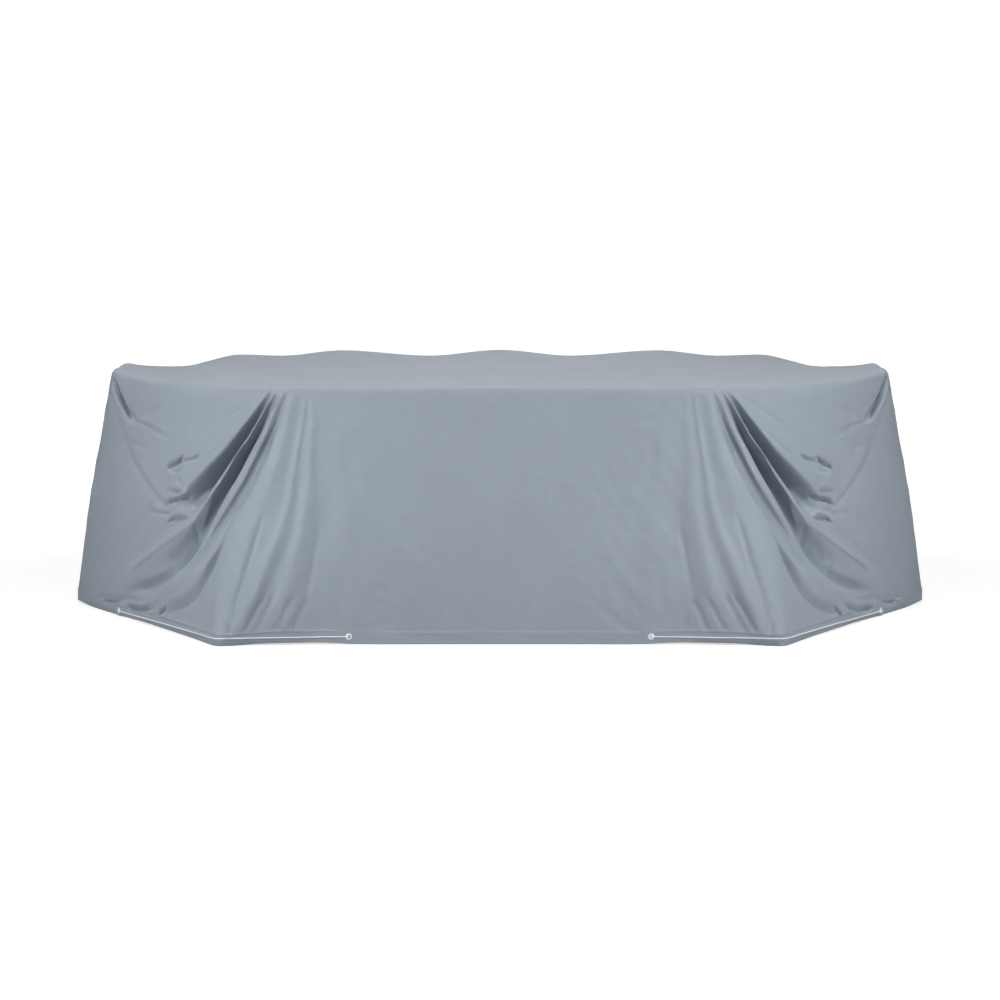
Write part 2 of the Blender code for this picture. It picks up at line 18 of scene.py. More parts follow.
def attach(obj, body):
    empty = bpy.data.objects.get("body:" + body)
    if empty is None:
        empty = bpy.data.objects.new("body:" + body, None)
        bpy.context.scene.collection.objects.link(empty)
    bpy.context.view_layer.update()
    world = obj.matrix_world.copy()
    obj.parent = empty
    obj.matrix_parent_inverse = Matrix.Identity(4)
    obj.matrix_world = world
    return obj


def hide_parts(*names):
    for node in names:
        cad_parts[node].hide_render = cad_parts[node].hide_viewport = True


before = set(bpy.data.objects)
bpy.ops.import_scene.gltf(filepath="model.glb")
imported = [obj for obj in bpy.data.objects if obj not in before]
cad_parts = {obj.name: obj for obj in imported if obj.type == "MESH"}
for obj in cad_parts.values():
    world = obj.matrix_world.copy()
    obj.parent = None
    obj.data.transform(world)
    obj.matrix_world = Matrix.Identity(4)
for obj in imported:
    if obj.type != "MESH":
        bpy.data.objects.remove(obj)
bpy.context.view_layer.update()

# ---------------------------------------------------------------- camera

CAMERA_AT = (0.0, -12.0, 1.886)
CAMERA_TILT = math.radians(90 - 7.16)
CAMERA_LENS = 119.6  # mm, on a 36 mm sensor

# ---------------------------------------------------------------- lights

# Name, place, aim, size, power and spread in degrees; each side light has a mirrored twin
SIDE_LIGHTS = (
    ("key", (2.64, -3.69, 1.75), (0.85, -0.6, 0.45), (1.7, 1.5), 4.2, 24),
    ("side", (3.6, -1.5, 4.0), (0.9, -0.2, 0.4), (1.6, 1.6), 54, 180),
)
MIDDLE_LIGHTS = (
    ("top", (0, -4.0, 5.0), (0, 0, 0.3), (5, 2), 105, 180),
    ("back", (0, 3.5, 3.5), (0, 0, 0.8), (5, 1.5), 70, 180),
)
AMBIENT = 0.18
FLOOR_HALF = 30
FLOOR_COLOR = (0.55, 0.55, 0.55)
FLOOR_GLOW = 0.62  # what the camera sees the floor brightened by
FLOOR_WHITENS = (2.0, 6.0)  # distances from the middle between which it turns fully white

# ---------------------------------------------------------------- cords

CORD_COLOR = (0.88, 0.885, 0.89)
CORD_RADIUS = 0.0020
# The route of each left cord, as in the part's source; the right ones mirror it
CORD_ROUTES = {
    "front": (
        (-0.5126, -0.8931, 0.0262), (-0.5123, -0.9031, 0.0269), (-0.5121, -0.9121, 0.0275),
        (-0.5140, -0.9152, 0.0277), (-0.5193, -0.9150, 0.0278), (-0.5270, -0.9145, 0.0279),
        (-0.6600, -0.9262, 0.0278), (-0.8000, -0.9386, 0.0275), (-0.9325, -0.9505, 0.0272),
        (-0.9541, -0.9500, 0.0271), (-0.9722, -0.9370, 0.0270), (-0.9913, -0.9084, 0.0268),
        (-1.0204, -0.8593, 0.0266), (-1.1690, -0.6209, 0.0252), (-1.2627, -0.4700, 0.0226),
        (-1.3545, -0.3208, 0.0205), (-1.3592, -0.3142, 0.0205), (-1.3619, -0.3099, 0.0205),
        (-1.3600, -0.3064, 0.0203), (-1.3524, -0.3018, 0.0195), (-1.3439, -0.2966, 0.0186),
    ),
    "back": (
        (-1.3699, 0.4048, 0.0203), (-1.3788, 0.4092, 0.0211), (-1.3869, 0.4131, 0.0218),
        (-1.3888, 0.4164, 0.0221), (-1.3864, 0.4208, 0.0221), (-1.3822, 0.4276, 0.0222),
        (-1.2690, 0.6620, 0.0235), (-1.1555, 0.8965, 0.0245), (-1.1412, 0.9277, 0.0246),
        (-1.1262, 0.9436, 0.0247), (-1.1066, 0.9522, 0.0247), (-1.0755, 0.9534, 0.0248),
        (-0.8700, 0.9490, 0.0249), (-0.6650, 0.9445, 0.0249), (-0.4651, 0.9402, 0.0248),
        (-0.4571, 0.9407, 0.0249), (-0.4521, 0.9410, 0.0249), (-0.4499, 0.9379, 0.0245),
        (-0.4496, 0.9290, 0.0233), (-0.4492, 0.9191, 0.0219),
    ),
}
SIDES = {"left": 1, "right": -1}
SHARP_BEND = math.radians(20)  # a route that bends more than this between two points gets one more there
CORD_STRANDS = 3
STRAND_DEPTH = 0.20  # of the grooves between them, as a share of the cord's radius
CORD_LAY = 0.017  # length of one turn of its strands
CORD_STEP = 0.0022
CORD_AROUND = 15

# ---------------------------------------------------------------- cloth: corners, top and folds

HEIGHT = 0.86  # nominal height of the rim above the floor
HEM_HEIGHT = 0.040
HEM_STEP = 0.0012
HEM_STEP_RUN = 0.004
# How far the hem's lower edge turns in, along the wall, and the height at which that begins
HEM_TUCK = (
    (0.47, 0.0), (0.62, 0.005), (0.85, 0.009), (1.55, 0.008), (1.80, 0.002), (2.30, 0.002), (2.60, 0.006),
    (2.95, 0.006), (3.65, 0.0),
)
HEM_TUCK_RISE = 0.018
# The cord draws a channel in the hem too: its depth as a share of that turn, its height and half its width
CORD_CHANNEL = (0.35, 0.031, 0.006)
RIM_ROLL = 0.018
WALL_BELLY = 0.012

# along, rim x and y, hem x and y, and the reach of the rounding at the rim, half way down and at the hem
CORNERS = (
    (0.00, (0.000, -0.795), (0.000, -0.905), (0.10, 0.10, 0.10)),  # middle of the front
    (0.46, (-0.398, -0.795), (-0.518, -0.908), (0.10, 0.10, 0.06)),  # front eyelet
    (0.85, (-0.735, -0.795), (-0.962, -0.957), (0.035, 0.14, 0.025)),  # front corner
    (1.85, (-1.385, -0.200), (-1.548, 0.015), (0.05, 0.12, 0.18)),  # front of the end
    (2.25, (-1.385, 0.200), (-1.548, 0.065), (0.05, 0.12, 0.18)),  # back of the end
    (3.05, (-1.040, 0.795), (-1.130, 0.955), (0.05, 0.14, 0.04)),  # back corner
    (4.13, (0.000, 0.795), (0.000, 0.925), (0.10, 0.10, 0.10)),  # middle of the back
)
ALONG_END = CORNERS[-1][0]
HALF_DEPTH = 0.795
HALF_LENGTH = 1.4
# Height of the top along its front and back edges: distance from the middle, and height
FRONT_EDGE = ((0.0, 0.860), (0.735, 0.860), (1.05, 0.860), (1.25, 0.865), (1.40, 0.871))
BACK_EDGE = (
    (0.0, 0.866), (0.27, 0.843), (0.61, 0.864), (0.84, 0.843),
    (1.00, 0.847), (1.21, 0.828), (1.32, 0.840), (1.40, 0.867),
)
TOP_MIDDLE = 0.60  # half the length of the middle line that the top's rings close in on
TOP_SAG = 0.045
# Soft humps and hollows of the top: x and y of the middle, height and radius
TOP_HUMPS = ((1.375, -0.10, 0.004, 0.05), (0.30, 0.42, 0.008, 0.22), (0.95, 0.10, 0.010, 0.30))

# Each fold: a row of places along the wall (m) and a row of heights proud of it (mm), at these drops
DROPS = (0.00, 0.06, 0.14, 0.22, 0.30, 0.38, 0.46, 0.56, 0.68, 0.78, 0.86)
FOLDS = (
    (  # front panel
        (0.35, 0.35, 0.34, 0.33, 0.33, 0.32, 0.31, 0.30, 0.29, 0.28, 0.28),
        (0, 0, 0, 0, 0, 1, 1, 2, 2, 1, 0),
    ),
    (  # crest by the eyelet
        (0.61, 0.60, 0.58, 0.56, 0.54, 0.52, 0.50, 0.48, 0.46, 0.455, 0.46),
        (0, 0, 1, 1, 2, 2, 3, 3, 2, 1, 0),
    ),
    (  # groove 6
        (0.70, 0.69, 0.67, 0.66, 0.64, 0.61, 0.60, 0.60, 0.605, 0.60, 0.57),
        (0, 0, -1, -3, -5, -6, -7, -7, -7, -9, -12),
    ),
    (  # crest 6
        (0.73, 0.72, 0.70, 0.69, 0.675, 0.665, 0.66, 0.66, 0.665, 0.67, 0.66),
        (0, 1, 2, 2, 2, 3, 3, 4, 5, 0, -8),
    ),
    (  # groove 5
        (0.745, 0.735, 0.725, 0.72, 0.71, 0.70, 0.695, 0.705, 0.73, 0.745, 0.74),
        (0, -1, -2, -2, -3, -4, -5, -6, -8, -10, -11),
    ),
    (  # crest 5
        (0.76, 0.75, 0.74, 0.735, 0.73, 0.725, 0.73, 0.745, 0.765, 0.78, 0.78),
        (0, 1, 1, 1, 1, 2, 2, 3, 4, 0, -9),
    ),
    (  # groove 4
        (0.775, 0.765, 0.76, 0.755, 0.755, 0.75, 0.755, 0.785, 0.805, 0.815, 0.81),
        (0, -2, -3, -3, -3, -3, -4, -4, -6, -7, -6),
    ),
    (  # crest 4
        (0.80, 0.805, 0.805, 0.805, 0.815, 0.835, 0.86, 0.885, 0.92, 0.90, 0.85),
        (0, 3, 5, 7, 8, 8, 8, 7, 5, 3, 0),
    ),
    (  # pleat
        (0.812, 0.816, 0.821, 0.828, 0.842, 0.868, 0.904, 0.955, 1.03, 1.12, 1.10),
        (0, 2, 4, 5, 6, 7, 6, -7, -16, -9, 0),
    ),
    (  # pleat's crest
        (0.820, 0.824, 0.829, 0.837, 0.855, 0.886, 0.926, 0.980, 1.075, 1.16, 1.16),
        (0, 1, 1, 1, 2, 4, 6, 4, -6, -3, 0),
    ),
    (  # groove 3
        (0.829, 0.834, 0.841, 0.857, 0.881, 0.911, 0.946, 1.002, 1.11, 1.20, 1.22),
        (0, -14, -24, -30, -32, -32, -30, -22, 2, 2, 0),
    ),
    (  # crest 3
        (0.85, 0.863, 0.886, 0.918, 0.950, 0.992, 1.027, 1.073, 1.160, 1.28, 1.32),
        (0, 2, 5, 8, 8, 8, 9, 12, 16, 11, 2),
    ),
    (  # groove 2
        (0.870, 0.890, 0.919, 0.951, 0.986, 1.031, 1.061, 1.096, 1.24, 1.43, 1.44),
        (0, -30, -62, -86, -98, -102, -100, -88, -26, -12, -6),
    ),
    (  # crest 2
        (0.890, 0.913, 0.946, 0.990, 1.043, 1.100, 1.148, 1.262, 1.46, 1.53, 1.51),
        (0, -1, 1, 4, 7, 8, 10, 14, 12, 5, 3),
    ),
    (  # pocket
        (0.905, 0.928, 0.963, 1.008, 1.064, 1.128, 1.22, 1.37, 1.55, 1.62, 1.62),
        (0, -40, -104, -152, -176, -140, -8, -4, 0, 2, 3),
    ),
    (  # pocket lip
        (0.93, 0.960, 1.022, 1.089, 1.180, 1.262, 1.30, 1.43, 1.60, 1.68, 1.70),
        (0, 3, 6, 8, 8, 6, 2, 1, 0, 1, 3),
    ),
    (  # corner flap
        (1.25, 1.30, 1.33, 1.345, 1.34, 1.33, 1.345, 1.49, 1.66, 1.77, 1.81),
        (0, 4, 8, 12, 13, 11, 4, 0, 0, 0, 2),
    ),
    (  # flap bulge
        (1.55, 1.56, 1.55, 1.50, 1.455, 1.395, 1.39, 1.54, 1.72, 1.82, 1.87),
        (0, 4, 3, 1, 1, 0, -1, 0, 0, 0, 0),
    ),
    (  # end crease
        (1.88, 1.830, 1.742, 1.668, 1.588, 1.475, 1.44, 1.59, 1.78, 1.89, 1.94),
        (0, 3, 4, 5, 6, 5, 0, 0, 0, 0, 0),
    ),
    (  # end shoulder
        (1.905, 1.854, 1.764, 1.690, 1.610, 1.498, 1.47, 1.65, 1.85, 1.97, 2.02),
        (0, -1, -2, -3, -4, -3, 0, 0, 0, 0, 0),
    ),
    (  # end panel
        (2.05, 2.05, 2.05, 2.05, 2.05, 2.05, 2.05, 2.06, 2.08, 2.12, 2.15),
        (0, 0, 0, 0, 1, 1, 2, 2, 1, 0, 0),
    ),
    (  # back shoulder
        (2.28, 2.30, 2.34, 2.40, 2.45, 2.50, 2.51, 2.52, 2.50, 2.46, 2.42),
        (0, 2, 4, 7, 9, 9, 8, 5, 3, 1, 0),
    ),
    (  # back crease
        (2.34, 2.38, 2.44, 2.50, 2.56, 2.62, 2.62, 2.62, 2.60, 2.57, 2.54),
        (0, -10, -20, -23, -22, -16, -12, -7, -4, -2, 0),
    ),
    (  # back flap
        (2.58, 2.62, 2.66, 2.69, 2.71, 2.74, 2.73, 2.71, 2.68, 2.65, 2.62),
        (0, 6, 12, 14, 13, 9, 6, 4, 3, 1, -2),
    ),
    (  # back groove 1
        (2.90, 2.89, 2.87, 2.85, 2.84, 2.83, 2.82, 2.79, 2.75, 2.74, 2.74),
        (0, -7, -15, -22, -28, -29, -26, -21, -15, -13, -12),
    ),
    (  # back crest 1
        (2.98, 2.96, 2.94, 2.92, 2.91, 2.90, 2.88, 2.86, 2.82, 2.83, 2.84),
        (0, 2, 3, 5, 6, 8, 9, 9, 6, 0, -6),
    ),
    (  # back groove 2
        (3.04, 3.03, 3.02, 3.01, 2.99, 2.98, 2.96, 2.94, 2.92, 2.93, 2.94),
        (0, -6, -13, -19, -24, -26, -24, -21, -15, -13, -12),
    ),
    (  # back crest 2
        (3.10, 3.10, 3.10, 3.10, 3.10, 3.09, 3.09, 3.08, 3.06, 3.05, 3.05),
        (0, 2, 4, 7, 9, 11, 12, 12, 9, 5, 0),
    ),
    (  # back groove 3
        (3.15, 3.16, 3.17, 3.19, 3.20, 3.22, 3.23, 3.25, 3.27, 3.25, 3.22),
        (0, -3, -6, -9, -11, -13, -14, -14, -12, -13, -14),
    ),
    (  # back crest 3
        (3.22, 3.25, 3.28, 3.32, 3.35, 3.38, 3.40, 3.43, 3.47, 3.43, 3.38),
        (0, 1, 2, 3, 4, 5, 6, 6, 6, 0, -8),
    ),
    (  # back groove 4
        (3.52, 3.52, 3.52, 3.52, 3.52, 3.53, 3.54, 3.56, 3.58, 3.56, 3.54),
        (0, 0, -1, -2, -4, -5, -6, -7, -8, -10, -12),
    ),
    (  # back panel
        (3.80, 3.81, 3.82, 3.83, 3.84, 3.84, 3.84, 3.84, 3.84, 3.78, 3.70),
        (0, 0, 0, 1, 1, 2, 3, 3, 3, 1, 0),
    ),
)
# Sharp creases and soft dents: a path of places (along, drop), the height at its middle (mm), and how far
# it reaches to the side above or right of it and to the side below or left of it (mm)
CREASES = (
    (
        ((1.85, 0.016), (1.80, 0.052), (1.764, 0.082), (1.72, 0.112), (1.688, 0.133), (1.645, 0.153)),
        -42, 14, 28,
    ),
    (((1.79, 0.06), (1.764, 0.082), (1.72, 0.112), (1.688, 0.133), (1.635, 0.156)), -22, 13, 20),
    (((1.65, 0.151), (1.588, 0.159), (1.52, 0.172), (1.448, 0.188)), -6, 12, 16),
    (
        (
            (1.715, 0.165), (1.688, 0.19), (1.664, 0.224), (1.596, 0.292), (1.516, 0.348),
            (1.432, 0.40), (1.352, 0.434), (1.272, 0.46), (1.204, 0.473),
        ),
        -13, 13, 45,
    ),
    (((1.392, 0.304), (1.348, 0.288), (1.324, 0.275), (1.30, 0.256)), -36, 13, 22),
    (((1.31, 0.273), (1.276, 0.271), (1.244, 0.262), (1.205, 0.246)), -22, 12, 13),
    (((1.38, 0.314), (1.332, 0.315), (1.28, 0.309)), -13, 11, 11),
    (((1.328, 0.325), (1.288, 0.348), (1.26, 0.367)), -8, 12, 28),
    (((1.37, 0.383), (1.312, 0.384), (1.255, 0.378)), -24, 12, 13),
    (((1.352, 0.429), (1.296, 0.413), (1.252, 0.40), (1.205, 0.38)), -42, 13, 17),
    (((1.45, 0.46), (1.376, 0.465), (1.29, 0.464)), -15, 13, 18),
    (((1.34, 0.47), (1.288, 0.464), (1.224, 0.443), (1.164, 0.413), (1.10, 0.366)), 9, 13, 15),
    (((1.318, 0.497), (1.284, 0.478), (1.24, 0.473), (1.175, 0.462)), -28, 12, 13),
    (((1.152, 0.478), (1.114, 0.515), (1.086, 0.545)), -16, 13, 18),
    (
        ((1.15, 0.46), (1.22, 0.525), (1.284, 0.563), (1.356, 0.606), (1.468, 0.671), (1.55, 0.71)),
        12, 16, 36,
    ),
    (((0.955, 0.15), (0.988, 0.22), (1.026, 0.30), (1.074, 0.38), (1.098, 0.46), (1.10, 0.51)), 20, 15, 32),
    (((0.90, 0.05), (0.955, 0.18), (0.995, 0.25), (1.036, 0.32), (1.084, 0.385), (1.14, 0.46)), 16, 14, 16),
    (
        (
            (1.05, 0.52), (1.09, 0.56), (1.125, 0.593), (1.19, 0.65), (1.24, 0.69), (1.30, 0.72),
            (1.43, 0.76),
        ),
        -36, 11, 52,
    ),
    (((1.258, 0.585), (1.24, 0.612), (1.224, 0.649), (1.204, 0.682)), -18, 12, 16),
    (((1.196, 0.562), (1.20, 0.59), (1.206, 0.62)), -12, 12, 14),
    (((1.484, 0.822), (1.416, 0.819), (1.356, 0.815), (1.304, 0.80), (1.265, 0.787)), -36, 11, 14),
    (((1.255, 0.822), (1.228, 0.80), (1.20, 0.783)), -26, 14, 14),
    (((1.665, 0.823), (1.604, 0.82), (1.544, 0.812), (1.485, 0.795)), -32, 11, 14),
    (((1.74, 0.824), (1.624, 0.806), (1.536, 0.795), (1.452, 0.787), (1.345, 0.785)), -14, 12, 13),
    (((1.56, 0.178), (1.49, 0.188), (1.42, 0.197)), -6, 11, 11),
    (((0.955, 0.03), (1.03, 0.055), (1.10, 0.10), (1.175, 0.14), (1.21, 0.16)), -8, 11, 16),
    (((1.04, 0.15), (1.10, 0.195), (1.13, 0.225), (1.18, 0.25)), -7, 11, 14),
    (
        (
            (0.93, 0.49), (0.945, 0.53), (0.965, 0.588), (0.993, 0.655), (1.03, 0.72), (1.10, 0.766),
            (1.25, 0.82),
        ),
        -42, 11, 46,
    ),
    (((0.65, 0.70), (0.656, 0.731), (0.664, 0.77), (0.68, 0.817), (0.685, 0.838)), -10, 11, 13),
    (((0.60, 0.70), (0.604, 0.727), (0.616, 0.761), (0.624, 0.808), (0.63, 0.835)), -10, 11, 13),
    (((0.728, 0.68), (0.736, 0.71), (0.752, 0.752), (0.768, 0.804), (0.775, 0.835)), -11, 11, 13),
    (((0.70, 0.68), (0.708, 0.71), (0.72, 0.748), (0.732, 0.795), (0.74, 0.83)), -11, 11, 13),
    (
        ((0.806, 0.40), (0.808, 0.50), (0.812, 0.611), (0.82, 0.705), (0.812, 0.783), (0.808, 0.83)),
        -8, 16, 26,
    ),
    (((0.604, 0.44), (0.604, 0.50), (0.604, 0.598), (0.604, 0.654), (0.60, 0.74)), -4, 12, 16),
    (((0.36, 0.66), (0.368, 0.679), (0.376, 0.71), (0.388, 0.752), (0.395, 0.77)), -5, 12, 14),
    (((0.50, 0.75), (0.50, 0.765), (0.488, 0.787), (0.468, 0.821), (0.46, 0.835)), -5, 12, 14),
    (((0.32, 0.73), (0.336, 0.752), (0.356, 0.783), (0.388, 0.813), (0.40, 0.825)), -5, 12, 14),
    (((0.836, 0.774), (0.822, 0.80), (0.812, 0.826)), -6, 10, 10),
    (((0.648, 0.697), (0.646, 0.73), (0.648, 0.768)), -5, 10, 10),
    (((0.575, 0.745), (0.565, 0.79), (0.56, 0.822)), -4, 10, 10),
)
DENTS = (
    (((1.64, 0.135), (1.57, 0.115), (1.50, 0.09)), -6, 28, 30),
    (((1.66, 0.235), (1.56, 0.24), (1.52, 0.262)), -4, 20, 20),
    (((1.50, 0.765), (1.42, 0.745), (1.33, 0.715), (1.27, 0.685), (1.205, 0.65)), -12, 26, 30),
    (((1.56, 0.60), (1.50, 0.53), (1.44, 0.46), (1.40, 0.42)), -5, 30, 50),
    (
        (
            (0.845, 0.07), (0.874, 0.17), (0.898, 0.245), (0.923, 0.314), (0.96, 0.387), (0.99, 0.44),
            (1.05, 0.54),
        ),
        15, 14, 26,
    ),
    (((1.09, 0.33), (1.135, 0.375), (1.165, 0.405), (1.20, 0.43)), 34, 26, 30),
    (((1.41, 0.81), (1.35, 0.798), (1.30, 0.775), (1.25, 0.738)), 7, 16, 18),
    (((1.72, 0.16), (1.705, 0.30), (1.70, 0.44), (1.67, 0.60)), -3, 18, 22),
    (((1.80, 0.20), (1.79, 0.40), (1.77, 0.60)), -2, 20, 25),
    (((0.64, 0.04), (0.60, 0.07), (0.57, 0.10), (0.51, 0.13)), -2.5, 14, 18),
    (((0.565, 0.15), (0.555, 0.23), (0.52, 0.31), (0.475, 0.37)), -3.5, 18, 22),
    (((0.475, 0.37), (0.465, 0.45), (0.47, 0.52)), -2.5, 18, 20),
    (((0.44, 0.76), (0.40, 0.70), (0.37, 0.64)), -2.5, 16, 20),
    (((0.33, 0.78), (0.30, 0.72), (0.25, 0.66)), -2, 18, 20),
    (((0.52, 0.62), (0.50, 0.70), (0.51, 0.78)), -3, 16, 18),
)
# Faint unevenness of the whole sheet: wave lengths along and down (m), slant, height (mm) and start
RIPPLES = (
    (0.31, 0.90, 0.3, 0.8, 0.4), (0.173, 1.30, -0.5, 0.6, 1.9), (0.118, 0.70, 0.9, 0.45, 4.1),
    (0.079, 0.55, -0.8, 0.3, 2.7), (0.23, 0.21, 0.2, 0.4, 5.2), (0.097, 0.17, 0.5, 0.22, 0.9),
)
RIPPLES_START = 0.10  # they grow over this drop below the rim
# Creases, dents and ripples end this far above the floor, and fade over a stretch above that
SMALL_RELIEF_END = 0.020
SMALL_RELIEF_FADE = 0.012
# Which way the folds stand out: 0 straight to the front or back, 1 square to the wall. Along the wall.
FOLD_FACING = ((0.0, 0.0), (1.70, 0.0), (1.95, 1.0), (2.35, 1.0), (2.65, 0.0), (4.13, 0.0))
# Radius with which the top turns down, above the flap at each corner. Along the wall.
RIM_RADIUS = (
    (0.95, 0.0), (1.15, 0.035), (1.35, 0.045), (1.55, 0.02), (1.68, 0.0),
    (2.45, 0.0), (2.70, 0.045), (2.90, 0.0),
)
WIDEST_RIM_RADIUS = max(radius for _, radius in RIM_RADIUS)
# Where the hem hangs clear of the floor: the middle of the stretch, its height and its reach
HEM_LIFTS = (
    (0.62, 0.009, 0.16), (1.20, 0.006, 0.30), (1.98, 0.007, 0.22), (2.72, 0.006, 0.20),
    (3.40, 0.009, 0.20),
)

# ---------------------------------------------------------------- cloth: the fine surface's own sizes

HEM_THICKNESS = 0.0024
# Spacing of the mesh lines along the wall, up to each number of the fold table
LINE_PITCHES = (
    (0, 0.040), (1, 0.022), (2, 0.009), (6, 0.007), (15, 0.0060), (16, 0.0070), (19, 0.0065),
    (20, 0.022), (22, 0.026), (31, 0.025), (99, 0.036),
)
# Spacing of the rows down to each drop
ROW_PITCHES = (
    (0.045, 0.0090), (0.155, 0.0053), (0.20, 0.0080), (0.50, 0.0068), (0.77, 0.0102),
    (0.83, 0.0075), (HEIGHT, 0.0112),
)
LINE_QUANTILE = 0.7  # share of the levels where a fold's lines are no wider apart than that
# Heights of the rows of the hem above the floor
HEM_ROWS = (0.0, 0.0016, 0.008, 0.016, 0.024, 0.031, 0.0355, 0.0380, 0.0400, 0.0420, 0.0440, 0.050)
HEM_INSIDE = (8, 4, 1)  # rows of the hem's turned-in side, by their numbers in HEM_ROWS
ROLL_STEPS = 5
TOP_INSETS = (0.018, 0.034, 0.052, 0.072, 0.10, 0.14)
TOP_GRID_HALF = (1.35, 0.75)  # half the length and depth of the grid that fills the top
TOP_PITCH = 0.040
TOP_FACING = 0.75  # a face whose normal's Z is above this lies flat by its plan
FABRIC_COLOR = (0.288, 0.333, 0.384)
THREAD_COLOR = (0.22, 0.25, 0.29)
THREADS = 2 * math.pi / 0.0016  # the weave, in turns of warp and weft over the cloth

EYELET_COLOR = (0.93, 0.935, 0.94)
EYELET_BARREL_R = 0.0054
EYELET_CROWN = 0.0018  # how far the solid's eyelet stands proud of the cloth
EYELET_AROUND = 48
HOLE_AROUND = 24
HOLE_DEPTH = 0.03
# The patch of cloth pressed flat under each eyelet
PATCH_RADIUS = 0.045
PATCH_FADE = 0.030  # width of its soft edge
PATCH_BULGE = 0.02  # cloth farther than this off the eyelet's plane stays as it is
# Outline of an eyelet: radius and height above the cloth's face
EYELET_PROFILE = (
    (0.0046, -0.0034), (0.0050, -0.0039), (0.0103, -0.0037), (0.0109, -0.0034), (0.0108, -0.0027),
    (0.0054, -0.0027), (0.0054, 0.0001), (0.0107, 0.0001), (0.0111, 0.0004), (0.0107, 0.0010),
    (0.0095, 0.0015), (0.0078, 0.0018), (0.0064, 0.0017), (0.0053, 0.0014), (0.0048, 0.0008),
    (0.0046, 0.0000),
)
STITCH_PITCH = 0.0046
STITCH_GAP = 0.09  # at each end of a stitch, as a share of the pitch
STITCH_RADIUS = 0.00045
# A stitch's outline: the share of its length, and its radius there as a share of STITCH_RADIUS
STITCH_OUTLINE = ((0.0, 0.25), (0.18, 0.95), (0.5, 1.15), (0.82, 0.95), (1.0, 0.25))
STITCH_LIFT = 0.3  # how far it stands out of the cloth, as a share of its radius
STITCH_AROUND = 6
STITCH_ROW = 6  # of HEM_ROWS


def smooth_at(x, knots, values):
    """A smooth curve through the knots that never overshoots them. Each knot may be an array like x."""
    x = np.asarray(x, float)
    knots = [np.broadcast_to(k, x.shape) for k in knots]
    values = [np.broadcast_to(v, x.shape) for v in values]
    widths = [b - a for a, b in zip(knots, knots[1:])]
    slopes = [(b - a) / w for a, b, w in zip(values, values[1:], widths)]
    tangents = [np.zeros(x.shape)]
    for low, high in zip(slopes, slopes[1:]):
        total = np.where(np.abs(low + high) < 1e-12, 1.0, low + high)
        tangents.append(np.where(low * high > 0, 2 * low * high / total, 0.0))
    tangents.append(np.zeros(x.shape))
    result = np.array(values[0])
    for i, width in enumerate(widths):
        f = np.clip((x - knots[i]) / width, 0, 1)
        piece = (
            (2 * f**3 - 3 * f**2 + 1) * values[i]
            + (f**3 - 2 * f**2 + f) * width * tangents[i]
            + (3 * f**2 - 2 * f**3) * values[i + 1]
            + (f**3 - f**2) * width * tangents[i + 1]
        )
        result = np.where(x >= knots[i], piece, result)
    return result


def hinge(x, reach):
    """0 before 0, x after it, rounded within reach."""
    return np.where(x < -reach, 0, np.where(x > reach, x, (x + reach) ** 2 / (4 * reach)))


def plan(along, level):
    """The wall's plan position at a level: straight stretches between CORNERS, rounded at each."""
    starts = [corner[0] for corner in CORNERS]
    axes = []
    for axis in (0, 1):
        at_level = [rim[axis] + (hem[axis] - rim[axis]) * level for _, rim, hem, _ in CORNERS]
        rates = [
            (b - a) / (t - s)
            for a, b, s, t in zip(at_level, at_level[1:], starts, starts[1:])
        ]
        value = at_level[0] + rates[0] * along
        for corner, before, after in zip(CORNERS[1:], rates, rates[1:]):
            reach = np.interp(level, (0, 0.5, 1), corner[3])
            value = value + (after - before) * hinge(along - corner[0], reach)
        axes.append(value)
    return axes


def top_height(x, y):
    """Height of the top at a plan position."""
    x = np.abs(x)
    v = np.clip((y / HALF_DEPTH + 1) / 2, 0, 1)
    front = smooth_at(x, *zip(*FRONT_EDGE))
    back = smooth_at(x, *zip(*BACK_EDGE))
    sag = TOP_SAG * (1 - np.clip(x / HALF_LENGTH, 0, 1) ** 2) * 4 * v * (1 - v)
    humps = sum(
        rise * np.exp(-((x - hx) ** 2 + (y - hy) ** 2) / radius**2)
        for hx, hy, rise, radius in TOP_HUMPS
    )
    return front + (back - front) * v - sag + humps


def hem_lift(along):
    return sum(
        rise * np.exp(-(((along - middle) / reach) ** 4)) for middle, rise, reach in HEM_LIFTS
    )


def base_wall(along, level):
    x, y = plan(along, level)
    rim = top_height(*plan(along, np.zeros_like(level)))
    return np.stack([x, y, rim * (1 - level) + hem_lift(along) * level], -1)


def wall_normal(along, level):
    step = 1e-3
    across = base_wall(along + step, level) - base_wall(along - step, level)
    down = base_wall(along, level + step) - base_wall(along, level - step)
    normal = np.cross(across, down)
    return normal / np.linalg.norm(normal, axis=-1, keepdims=True)


def fold_places(level):
    """Where each fold lies along the wall at a level, with the middles of the front and back as ends."""
    drop = level * HEIGHT
    places = [smooth_at(drop, DROPS, row) for row, _ in FOLDS]
    return [np.zeros_like(drop), *places, np.full_like(drop, ALONG_END)]


def relief(along, level):
    drop = level * HEIGHT
    heights = [smooth_at(drop, DROPS, np.array(row) * 0.001) for _, row in FOLDS]
    heights = [heights[0], *heights, heights[-1]]
    return smooth_at(along, fold_places(level), heights)


